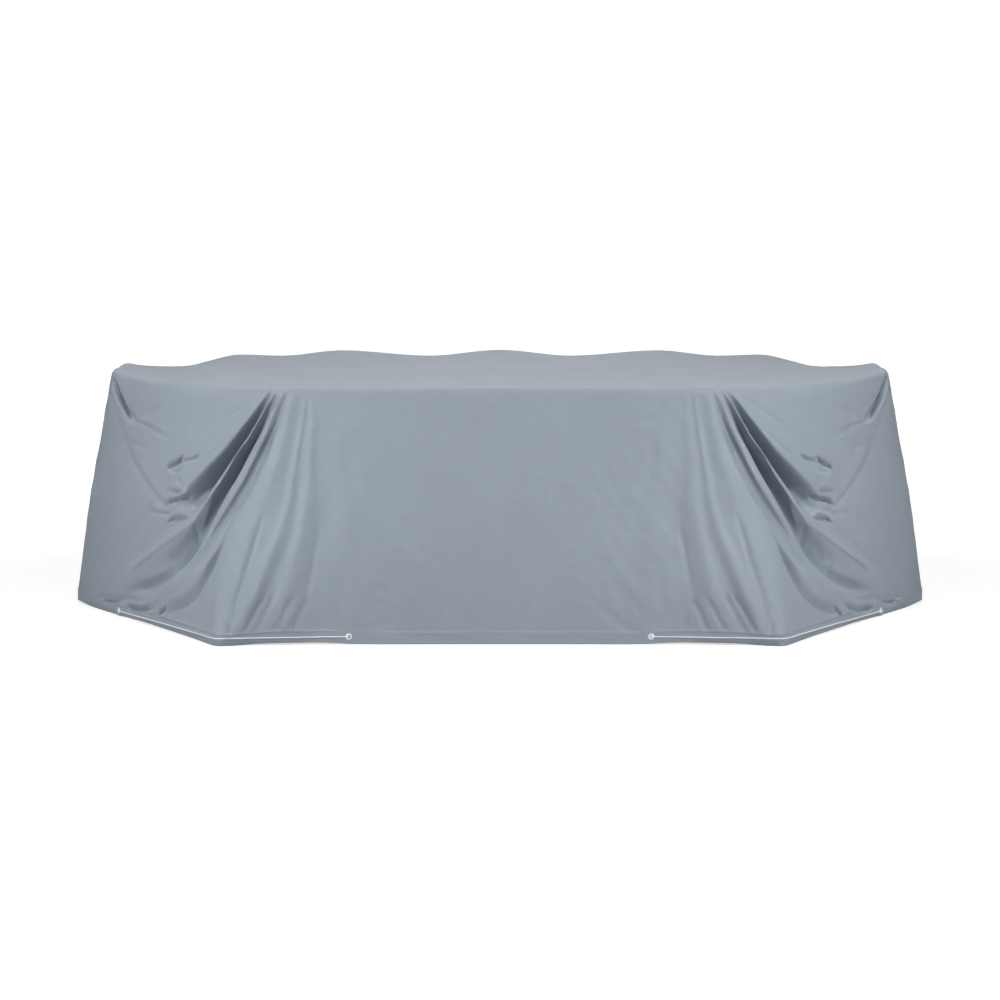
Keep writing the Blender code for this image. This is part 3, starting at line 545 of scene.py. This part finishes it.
def beside(along, drop, path):
    """Distance from a path, whether below or left of it, and how near the path's middle, 0 to 1."""
    path = np.array(path)
    runs = np.hypot(*np.diff(path, axis=0).T)
    travelled = np.concatenate([[0], np.cumsum(runs)])
    nearest = np.full(np.shape(along), np.inf)
    below = np.zeros(np.shape(along), bool)
    gone = np.zeros(np.shape(along))
    for (a, d), (b, e), run, so_far in zip(path, path[1:], runs, travelled):
        across, down = (a - b) / run, (e - d) / run
        to_right, to_down = a - along, drop - d
        ahead = np.clip(to_right * across + to_down * down, 0, run)
        distance = np.hypot(to_right - ahead * across, to_down - ahead * down)
        nearer = distance < nearest
        nearest = np.where(nearer, distance, nearest)
        below = np.where(nearer, across * to_down - down * to_right > 0, below)
        gone = np.where(nearer, so_far + ahead, gone)
    share = gone / travelled[-1]
    return nearest, below, np.clip(4 * np.minimum(share, 1 - share), 0, 1)


def small_relief(along, drop):
    """The creases, dents and faint unevenness on top of the folds."""
    total = np.zeros(np.shape(along))
    for table, sharp in ((CREASES, True), (DENTS, False)):
        for path, height, right, left in table:
            distance, below, middle = beside(along, drop, path)
            share = np.clip(distance / np.where(below, left, right) * 1000, 0, 1)
            profile = (1 - share**1.3) ** 2 if sharp else (1 - share**2) ** 2
            total = total + height * 0.001 * profile * (3 - 2 * middle) * middle**2
    calm = np.clip(drop / RIPPLES_START, 0, 1)
    for length, fall, slant, height, start in RIPPLES:
        wave = np.sin(2 * math.pi * ((along + slant * drop) / length + drop / fall) + start)
        total = total + height * 0.001 * wave * calm
    return total * np.clip((HEIGHT - SMALL_RELIEF_END - drop) / SMALL_RELIEF_FADE, 0, 1)


def hem_proud(along, level):
    """The doubled hem's step, and how the drawn cord turns its lower edge in."""
    above_floor = (1 - level) * HEIGHT
    step = HEM_STEP * np.clip((HEM_HEIGHT + HEM_STEP_RUN - above_floor) / HEM_STEP_RUN, 0, 1)
    share, middle, reach = CORD_CHANNEL
    channel = share * np.clip(1 - np.abs(above_floor - middle) / reach, 0, 1)
    edge = np.clip(1 - above_floor / HEM_TUCK_RISE, 0, 1)
    return step - smooth_at(along, *zip(*HEM_TUCK)) * (edge + channel)


def rim_radius(along):
    return np.maximum(smooth_at(along, *zip(*RIM_RADIUS)), 1e-6)


def turned_in(distance, radius):
    """How far a wall is set in, or a top down, at this distance from the edge that both turn round."""
    share = np.clip(1 - distance / radius, 0, 1)
    return radius * (1 - np.sqrt(1 - share**2))


def wall(along, level):
    along, level = np.broadcast_arrays(np.asarray(along, float), np.asarray(level, float))
    normal = wall_normal(along, level)
    facing = normal.copy()
    facing[..., 0] *= smooth_at(along, *zip(*FOLD_FACING))
    facing /= np.linalg.norm(facing, axis=-1, keepdims=True)
    proud = WALL_BELLY * 4 * level * (1 - level) + hem_proud(along, level)
    proud = proud - turned_in(level * HEIGHT, rim_radius(along))
    return (
        base_wall(along, level)
        + normal * proud[..., None]
        + facing * (relief(along, level) + small_relief(along, level * HEIGHT))[..., None]
    )


def top_ring(along, inset):
    """Points of the top, this far in from the rim towards the top's middle line."""
    x, y = plan(along, np.zeros_like(along))
    run_x = np.clip(x, -TOP_MIDDLE, TOP_MIDDLE) - x
    run = np.hypot(run_x, y)
    x = x + run_x * inset / run
    y = y - y * inset / run
    return np.stack([x, y, top_height(x, y) - turned_in(inset, rim_radius(along))], -1)


# ---------------------------------------------------------------- cloth: mesh


def line_shares():
    """The mesh lines that run up the wall, as shares of the way through the list of folds."""
    places = fold_places(np.linspace(0, 1, 11))
    shares = []
    for i, (low, high) in enumerate(zip(places, places[1:])):
        pitch = next(pitch for last, pitch in LINE_PITCHES if i <= last)
        count = max(2, math.ceil(float(np.quantile(high - low, LINE_QUANTILE)) / pitch))
        shares += [(i, step / count) for step in range(count)]
    shares.append((len(places) - 2, 1.0))
    return shares


def wall_levels():
    """Levels of the rows, from the hem up to where the roll over the rim begins."""
    drops = [RIM_ROLL]
    for last, pitch in ROW_PITCHES:
        stop = min(last, HEIGHT - HEM_ROWS[-1])
        count = round((stop - drops[-1]) / pitch)
        drops += list(np.linspace(drops[-1], stop, count + 1)[1:])
    drops += [HEIGHT - height for height in HEM_ROWS[-2::-1]]
    return np.array(drops[::-1]) / HEIGHT


def cloth_rows():
    """Rows of points of the left half, from the hem up over the rim and in over the top."""
    shares = line_shares()
    levels = wall_levels()
    places = np.array(fold_places(levels))
    low = places[[i for i, _ in shares]]
    high = places[[i + 1 for i, _ in shares]]
    part_way = np.array([f for _, f in shares])[:, None]
    along = (low + (high - low) * part_way).T
    rows = list(wall(along, levels[:, None]))
    rim_places = np.array(fold_places(np.array([0.0])))[:, 0]
    rim = np.array([rim_places[i] + (rim_places[i + 1] - rim_places[i]) * f for i, f in shares])
    start, end = rows.pop(), top_ring(rim, TOP_INSETS[0])
    blunt = (rim_radius(rim) / WIDEST_RIM_RADIUS)[:, None]
    corner = base_wall(rim, np.zeros_like(rim)) * (1 - blunt) + (start + end) / 2 * blunt
    for step in range(ROLL_STEPS + 1):
        u = step / ROLL_STEPS
        rows.append((1 - u) ** 2 * start + 2 * u * (1 - u) * corner + u**2 * end)
    rows += [top_ring(rim, inset) for inset in TOP_INSETS[1:]]
    return rows


def is_inside(x, y, outline):
    """Whether a plan point is inside a closed outline."""
    ahead = np.roll(outline, -1, axis=0)
    spans = (outline[:, 1] > y) != (ahead[:, 1] > y)
    run = np.where(spans, ahead[:, 1] - outline[:, 1], 1.0)
    cross = outline[:, 0] + (y - outline[:, 1]) * (ahead[:, 0] - outline[:, 0]) / run
    return np.count_nonzero(spans & (x < cross)) % 2 == 1


def fill_top(ring, pitch):
    """Points and triangles that close the top inside a ring. Faces number the ring's points first."""
    edge = ring[:, :2]
    half_length, half_depth = TOP_GRID_HALF
    inner = []
    for x in np.arange(-half_length, half_length, pitch):
        for y in np.arange(-half_depth, half_depth, pitch):
            if is_inside(x, y, edge) and np.min(np.hypot(*(edge - (x, y)).T)) > pitch * 0.5:
                inner.append((x, y))
    flat = [Vector(p) for p in [*map(tuple, edge), *inner]]
    count = len(ring)
    filled = delaunay_2d_cdt(flat, [(i, (i + 1) % count) for i in range(count)], [], 1, 1e-7)
    number, added = [], []
    for point, source in zip(filled[0], filled[3]):
        if source and source[0] < count:
            number.append(source[0])
        else:
            number.append(count + len(added))
            added.append((point.x, point.y, float(top_height(np.array(point.x), np.array(point.y)))))
    return np.array(added), [tuple(number[i] for i in face) for face in filled[2]]


def ring_faces(first, second, count):
    """Faces between two closed rings of points, whose numbers start at first and second."""
    ahead = [(i + 1) % count for i in range(count)]
    return [(first + i, second + i, second + j, first + j) for i, j in enumerate(ahead)]


def closed_mesh(name, points, faces):
    """A smooth mesh whose faces look outwards."""
    mesh = bpy.data.meshes.new(name)
    mesh.from_pydata([tuple(p) for p in points], [], faces)
    work = bmesh.new()
    work.from_mesh(mesh)
    bmesh.ops.recalc_face_normals(work, faces=work.faces[:])
    work.to_mesh(mesh)
    work.free()
    mesh.shade_smooth()
    return mesh


def outward(rings):
    """Directions square to a stack of closed rings of points, out of the cloth."""
    around = np.roll(rings, -1, axis=1) - np.roll(rings, 1, axis=1)
    up = np.gradient(rings, axis=0)
    normal = np.cross(up, around)
    return normal / np.linalg.norm(normal, axis=-1, keepdims=True)


def cloth_mesh(places):
    """The cloth, and the ring of its points that the hem is sewn on."""
    rings = np.array([np.concatenate([row, row[-2:0:-1] * (-1, 1, 1)]) for row in cloth_rows()])
    count = rings.shape[1]
    rings = flattened(rings.reshape(-1, 3), places).reshape(rings.shape)
    normals = outward(rings)
    turned_up = [rings[row] - normals[row] * HEM_THICKNESS for row in HEM_INSIDE]
    stitch_line = rings[STITCH_ROW]
    rings = np.concatenate([turned_up, rings])

    faces = []
    for row in range(len(rings) - 1):
        faces += ring_faces(row * count, (row + 1) * count, count)
    added, fill = fill_top(rings[-1], TOP_PITCH)
    points = [*rings.reshape(-1, 3), *added]
    last_ring = (len(rings) - 1) * count
    faces += [tuple(last_ring + i for i in face) for face in fill]
    mesh = bpy.data.meshes.new("cloth")
    mesh.from_pydata([tuple(p) for p in points], [], [tuple(f) for f in faces])
    mesh.validate()
    work = bmesh.new()
    work.from_mesh(mesh)
    bmesh.ops.recalc_face_normals(work, faces=work.faces[:])
    lay_flat(work)
    work.to_mesh(mesh)
    work.free()
    mesh.shade_smooth()
    return mesh, stitch_line


def lay_flat(work):
    """Gives each face its place on the flat cloth, in metres, from the way it faces."""
    flat = work.loops.layers.uv.new("flat")
    for face in work.faces:
        x, y, z = (abs(v) for v in face.normal)
        for loop in face.loops:
            spot = loop.vert.co
            if z > TOP_FACING:
                loop[flat].uv = (spot.x, spot.y)
            elif y > x:
                loop[flat].uv = (spot.x, spot.z)
            else:
                loop[flat].uv = (spot.y, spot.z)


def new_object(name, data, material):
    data.materials.append(material)
    obj = bpy.data.objects.new(name, data)
    bpy.context.scene.collection.objects.link(obj)
    return obj


def smooth_path(route):
    """Points of a smooth curve through a route's own points."""
    ends = [route[0] * 2 - route[1], *route, route[-1] * 2 - route[-2]]
    points = []
    for before, start, end, after in zip(ends, ends[1:], ends[2:], ends[3:]):
        bend = max((start - before).angle(end - start), (end - start).angle(after - end))
        steps = 2 if bend > SHARP_BEND else 1
        for i in range(steps):
            f = i / steps
            points.append(0.5 * (
                2 * start + (end - before) * f
                + (2 * before - 5 * start + 4 * end - after) * f**2
                + (3 * start - before - 3 * end + after) * f**3
            ))
    return [*points, route[-1]]


def even_points(points, step):
    """Points this far apart along a line through the given ones, and the line's length."""
    points = np.array(points)
    travelled = np.concatenate([[0], np.cumsum(np.linalg.norm(np.diff(points, axis=0), axis=1))])
    wanted = np.linspace(0, travelled[-1], round(travelled[-1] / step) + 1)
    return np.stack([np.interp(wanted, travelled, points[:, i]) for i in range(3)], 1), travelled[-1]


def tube(name, path, radius_at, around):
    """A closed tube round a path. radius_at(distance, angle) is its radius."""
    tangents = np.gradient(path, axis=0)
    tangents /= np.linalg.norm(tangents, axis=1, keepdims=True)
    side = np.cross(tangents[0], (0, 0, 1))
    travelled = np.concatenate([[0], np.cumsum(np.linalg.norm(np.diff(path, axis=0), axis=1))])
    angles = np.arange(around) * 2 * math.pi / around
    points = []
    for middle, tangent, distance in zip(path, tangents, travelled):
        side = side - tangent * np.dot(side, tangent)
        side /= np.linalg.norm(side)
        up = np.cross(tangent, side)
        radius = radius_at(distance, angles)[:, None]
        spokes = np.cos(angles)[:, None] * side + np.sin(angles)[:, None] * up
        points += [*(middle + radius * spokes)]
    faces = []
    for ring in range(len(path) - 1):
        faces += ring_faces(ring * around, (ring + 1) * around, around)
    faces += [tuple(range(around)), tuple(range(len(points) - 1, len(points) - around - 1, -1))]
    return closed_mesh(name, points, faces)


def strands_radius(distance, angles):
    """The cord's radius, as its strands wind round it."""
    turn = angles * CORD_STRANDS / 2 + distance * math.pi * CORD_STRANDS / CORD_LAY
    return CORD_RADIUS * (1 - STRAND_DEPTH + STRAND_DEPTH * np.abs(np.cos(turn)))


def make_cords(material):
    for place, route in CORD_ROUTES.items():
        for side, sign in SIDES.items():
            points = smooth_path([Vector((x * sign, y, z)) for x, y, z in route])
            path, length = even_points(points, CORD_STEP)
            node = f"drawcord_{place}_{side}"
            mesh = tube(node, path, strands_radius, CORD_AROUND)
            cord = new_object(f"cord_{place}_{side}", mesh, material)
            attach(cord, "root")
            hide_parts(node)


def eyelet_places():
    """Each eyelet node's name, the middle of its hole on the cloth's face, and its outward direction."""
    places = {}
    for node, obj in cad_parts.items():
        if not node.startswith("eyelet"):
            continue
        points = np.array([tuple(v.co) for v in obj.data.vertices])
        middle = (points.min(0) + points.max(0)) / 2
        _, _, axes = np.linalg.svd(points - points.mean(0))
        out = axes[2] * np.sign(np.dot(axes[2], (middle[0], middle[1] * 2, 0)))
        face = np.max((points - middle) @ out) - EYELET_CROWN
        places[node] = (middle + out * face, out)
    return places


def turned(name, profile, around):
    """A mesh turned round Z from a closed outline of (radius, height) points."""
    points, faces = [], []
    for radius, height in profile:
        for i in range(around):
            angle = 2 * math.pi * i / around
            points.append((radius * math.cos(angle), radius * math.sin(angle), height))
    count = len(profile)
    for ring in range(count):
        faces += ring_faces(ring * around, (ring + 1) % count * around, around)
    return closed_mesh(name, points, faces)


def set_out(middle, out):
    """The transform that takes Z to an eyelet's outward direction, at the middle of its hole."""
    transform = Vector(out).to_track_quat("Z", "Y").to_matrix().to_4x4()
    transform.translation = Vector(middle)
    return transform


def make_eyelets(places, material):
    for node, (middle, out) in places.items():
        mesh = turned(node, EYELET_PROFILE, EYELET_AROUND)
        mesh.transform(set_out(middle, out))
        ring = new_object(node.replace("eyelet", "ring"), mesh, material)
        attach(ring, "root")
        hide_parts(node)


def flattened(points, places):
    """The cloth's points, with the patch under each eyelet pressed flat."""
    for middle, out in places.values():
        away = points - middle
        proud = away @ out
        distance = np.linalg.norm(away - proud[:, None] * out, axis=1)
        near = (np.abs(proud) < PATCH_BULGE) & (distance < PATCH_RADIUS)
        share = np.clip((PATCH_RADIUS - distance) / PATCH_FADE, 0, 1)
        share = share * share * (3 - 2 * share) * near
        points = points - (proud * share)[:, None] * out
    return points


def cut_holes(cloth, places):
    """Opens the cloth in each eyelet."""
    work = bmesh.new()
    for middle, out in places.values():
        bmesh.ops.create_cone(
            work, cap_ends=True, segments=HOLE_AROUND, radius1=EYELET_BARREL_R,
            radius2=EYELET_BARREL_R, depth=HOLE_DEPTH, matrix=set_out(middle, out),
        )
    cutter = bpy.data.objects.new("holes", bpy.data.meshes.new("holes"))
    work.to_mesh(cutter.data)
    work.free()
    bpy.context.scene.collection.objects.link(cutter)
    hole = cloth.modifiers.new("holes", "BOOLEAN")
    hole.object = cutter
    hole.solver = "EXACT"
    graph = bpy.context.evaluated_depsgraph_get()
    opened = bpy.data.meshes.new_from_object(cloth.evaluated_get(graph))
    cloth.modifiers.clear()
    cloth.data = opened
    opened.shade_smooth()
    bpy.data.objects.remove(cutter, do_unlink=True)


def hem_stitches(ring):
    """Stitches sewn round the hem, on a ring of the cloth's own points."""
    closed = np.concatenate([ring, ring[:1]])
    spots, _ = even_points(closed, STITCH_PITCH)
    around = STITCH_AROUND
    points, faces = [], []
    for start, end in zip(spots, spots[1:]):
        run = end - start
        side = np.cross(run, (0, 0, 1))
        side /= np.linalg.norm(side)
        up = np.cross(side, run)
        up /= np.linalg.norm(up)
        first = len(points)
        for share, swell in STITCH_OUTLINE:
            gone = STITCH_GAP + (1 - 2 * STITCH_GAP) * share
            middle = start + run * gone + side * STITCH_RADIUS * STITCH_LIFT * swell
            for i in range(around):
                angle = 2 * math.pi * i / around
                spoke = side * math.cos(angle) + up * math.sin(angle)
                points.append(middle + spoke * STITCH_RADIUS * swell)
        last = first + (len(STITCH_OUTLINE) - 1) * around
        for low in range(first, last, around):
            faces += ring_faces(low, low + around, around)
        faces += [tuple(range(first, first + around)), tuple(range(last + around - 1, last - 1, -1))]
    return closed_mesh("hem_stitches", points, faces)


# ---------------------------------------------------------------- materials


def new_material(name, color, roughness):
    material = bpy.data.materials.new(name)
    material.use_nodes = True
    shader = material.node_tree.nodes["Principled BSDF"]
    shader.inputs["Base Color"].default_value = (*color, 1)
    shader.inputs["Roughness"].default_value = roughness
    return material, material.node_tree, shader


def add_node(tree, kind, **settings):
    """A node with its settings. A setting that names an input gives that input's value."""
    node = tree.nodes.new(kind)
    for key, value in settings.items():
        if key.startswith("in_"):
            node.inputs[key[3:].replace("_", " ")].default_value = value
        else:
            setattr(node, key, value)
    return node


def noise(tree, place, scale, detail):
    node = add_node(tree, "ShaderNodeTexNoise", in_Scale=scale, in_Detail=detail)
    tree.links.new(place.outputs["Object"], node.inputs["Vector"])
    return node.outputs["Fac"]


def to_range(tree, value, low, high):
    """Takes the middle of a noise's values to a range."""
    node = add_node(
        tree, "ShaderNodeMapRange", in_From_Min=0.3, in_From_Max=0.7, in_To_Min=low, in_To_Max=high,
    )
    tree.links.new(value, node.inputs["Value"])
    return node.outputs["Result"]


def tint(tree, shader, color, value):
    """Colours a shader, made lighter and darker by a value near 1."""
    node = add_node(tree, "ShaderNodeHueSaturation", in_Color=(*color, 1))
    tree.links.new(value, node.inputs["Value"])
    tree.links.new(node.outputs["Color"], shader.inputs["Base Color"])


def bump(tree, height, strength, distance, normal=None):
    """The normal that a height gives, on top of another normal if there is one."""
    node = add_node(tree, "ShaderNodeBump", in_Strength=strength, in_Distance=distance)
    tree.links.new(height, node.inputs["Height"])
    if normal is not None:
        tree.links.new(normal, node.inputs["Normal"])
    return node.outputs["Normal"]


def math_node(tree, operation, first, second):
    node = add_node(tree, "ShaderNodeMath", operation=operation)
    for socket, value in zip(node.inputs, (first, second)):
        if isinstance(value, (int, float)):
            socket.default_value = value
        else:
            tree.links.new(value, socket)
    return node.outputs["Value"]


def fabric_material():
    """Coated polyester: a fine plain weave, faintly uneven in colour and gloss, with light marks."""
    material, tree, shader = new_material("cover_fabric", FABRIC_COLOR, 0.6)
    shader.inputs["Specular IOR Level"].default_value = 0.35
    shader.inputs["Sheen Weight"].default_value = 0.10
    shader.inputs["Sheen Roughness"].default_value = 0.5
    place = add_node(tree, "ShaderNodeTexCoord")
    broad = to_range(tree, noise(tree, place, 2.1, 3), 0.975, 1.025)
    small = to_range(tree, noise(tree, place, 38, 3), 0.985, 1.015)
    tint(tree, shader, FABRIC_COLOR, math_node(tree, "MULTIPLY", broad, small))
    tree.links.new(to_range(tree, noise(tree, place, 6, 3), 0.55, 0.66), shader.inputs["Roughness"])

    flat = add_node(tree, "ShaderNodeSeparateXYZ")
    tree.links.new(place.outputs["UV"], flat.inputs["Vector"])
    warp = math_node(tree, "SINE", math_node(tree, "MULTIPLY", flat.outputs["X"], THREADS), 0)
    weft = math_node(tree, "SINE", math_node(tree, "MULTIPLY", flat.outputs["Y"], THREADS), 0)
    weave = bump(tree, math_node(tree, "MULTIPLY", warp, weft), 0.12, 0.0003)
    marks = math_node(tree, "ADD", noise(tree, place, 9, 4), noise(tree, place, 27, 3))
    tree.links.new(bump(tree, marks, 0.35, 0.0035, weave), shader.inputs["Normal"])
    return material


def cord_material():
    """White polyester cord with its fibres."""
    material, tree, shader = new_material("cord_white", CORD_COLOR, 0.75)
    place = add_node(tree, "ShaderNodeTexCoord")
    tint(tree, shader, CORD_COLOR, to_range(tree, noise(tree, place, 120, 2), 0.93, 1.03))
    fibres = bump(tree, noise(tree, place, 900, 3), 0.4, 0.0004)
    tree.links.new(fibres, shader.inputs["Normal"])
    return material


def eyelet_material():
    """White enamel, slightly worn and dented."""
    material, tree, shader = new_material("eyelet_white", EYELET_COLOR, 0.32)
    shader.inputs["Coat Weight"].default_value = 0.3
    place = add_node(tree, "ShaderNodeTexCoord")
    tree.links.new(to_range(tree, noise(tree, place, 400, 3), 0.26, 0.42), shader.inputs["Roughness"])
    tint(tree, shader, EYELET_COLOR, to_range(tree, noise(tree, place, 700, 4), 0.90, 1.02))
    dents = bump(tree, noise(tree, place, 500, 2), 0.15, 0.0002)
    tree.links.new(dents, shader.inputs["Normal"])
    return material


def thread_material():
    """Grey sewing thread, a little darker than the cloth."""
    material, tree, shader = new_material("hem_thread", THREAD_COLOR, 0.65)
    place = add_node(tree, "ShaderNodeTexCoord")
    tint(tree, shader, THREAD_COLOR, to_range(tree, noise(tree, place, 150, 2), 0.88, 1.08))
    return material


# ---------------------------------------------------------------- studio


def soft_light(name, at, aim, size, energy, spread):
    light = bpy.data.lights.new(name, "AREA")
    light.shape = "RECTANGLE"
    light.size, light.size_y = size
    light.energy = energy
    light.spread = math.radians(spread)
    obj = bpy.data.objects.new(name, light)
    bpy.context.scene.collection.objects.link(obj)
    obj.location = at
    obj.rotation_euler = (Vector(aim) - Vector(at)).to_track_quat("-Z", "Y").to_euler()


def floor_material():
    """A pale floor, brightened to white for the camera, and fully white far from the object."""
    material, tree, shader = new_material("floor_paint", FLOOR_COLOR, 0.95)
    shader.inputs["Specular IOR Level"].default_value = 0.0
    shader.inputs["Emission Color"].default_value = (1, 1, 1, 1)
    place = add_node(tree, "ShaderNodeTexCoord")
    far = add_node(tree, "ShaderNodeVectorMath", operation="LENGTH")
    tree.links.new(place.outputs["Object"], far.inputs[0])
    near, away = FLOOR_WHITENS
    rise = add_node(
        tree, "ShaderNodeMapRange", in_From_Min=near, in_From_Max=away, in_To_Min=FLOOR_GLOW, in_To_Max=1.0,
    )
    tree.links.new(far.outputs["Value"], rise.inputs["Value"])
    rays = add_node(tree, "ShaderNodeLightPath")
    glow = math_node(tree, "MULTIPLY", rise.outputs["Result"], rays.outputs["Is Camera Ray"])
    tree.links.new(glow, shader.inputs["Emission Strength"])
    return material


def make_studio():
    scene = bpy.context.scene
    scene.view_settings.view_transform = "Standard"
    world = bpy.data.worlds.new("studio")
    scene.world = world
    world.use_nodes = True
    tree = world.node_tree
    background = tree.nodes["Background"]
    background.inputs["Color"].default_value = (1, 1, 1, 1)
    rays = add_node(tree, "ShaderNodeLightPath")
    level = add_node(tree, "ShaderNodeMapRange", in_To_Min=AMBIENT, in_To_Max=1.0)
    tree.links.new(rays.outputs["Is Camera Ray"], level.inputs["Value"])
    tree.links.new(level.outputs["Result"], background.inputs["Strength"])
    for side in (-1, 1):
        for name, at, aim, size, energy, spread in SIDE_LIGHTS:
            at, aim = (at[0] * side, *at[1:]), (aim[0] * side, *aim[1:])
            soft_light(f"{name}_{side + 1}", at, aim, size, energy, spread)
    for light in MIDDLE_LIGHTS:
        soft_light(*light)
    mesh = bpy.data.meshes.new("floor")
    corners = [(x * FLOOR_HALF, y * FLOOR_HALF, 0) for x, y in ((-1, -1), (1, -1), (1, 1), (-1, 1))]
    mesh.from_pydata(corners, [], [(0, 1, 2, 3)])
    new_object("floor", mesh, floor_material())


def make_camera():
    camera = bpy.data.cameras.new("camera")
    camera.lens = CAMERA_LENS
    camera.sensor_width = 36
    obj = bpy.data.objects.new("camera", camera)
    bpy.context.scene.collection.objects.link(obj)
    obj.location = CAMERA_AT
    obj.rotation_euler = (CAMERA_TILT, 0, 0)
    bpy.context.scene.camera = obj


make_camera()
make_studio()
places = eyelet_places()
fabric = fabric_material()
mesh, hem_ring = cloth_mesh(places)
cloth = new_object("cloth", mesh, fabric)
cut_holes(cloth, places)
stitches = new_object("hem_stitches", hem_stitches(hem_ring), thread_material())
for piece in (cloth, stitches):
    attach(piece, "root")
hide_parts("cover_cloth")
make_cords(cord_material())
make_eyelets(places, eyelet_material())
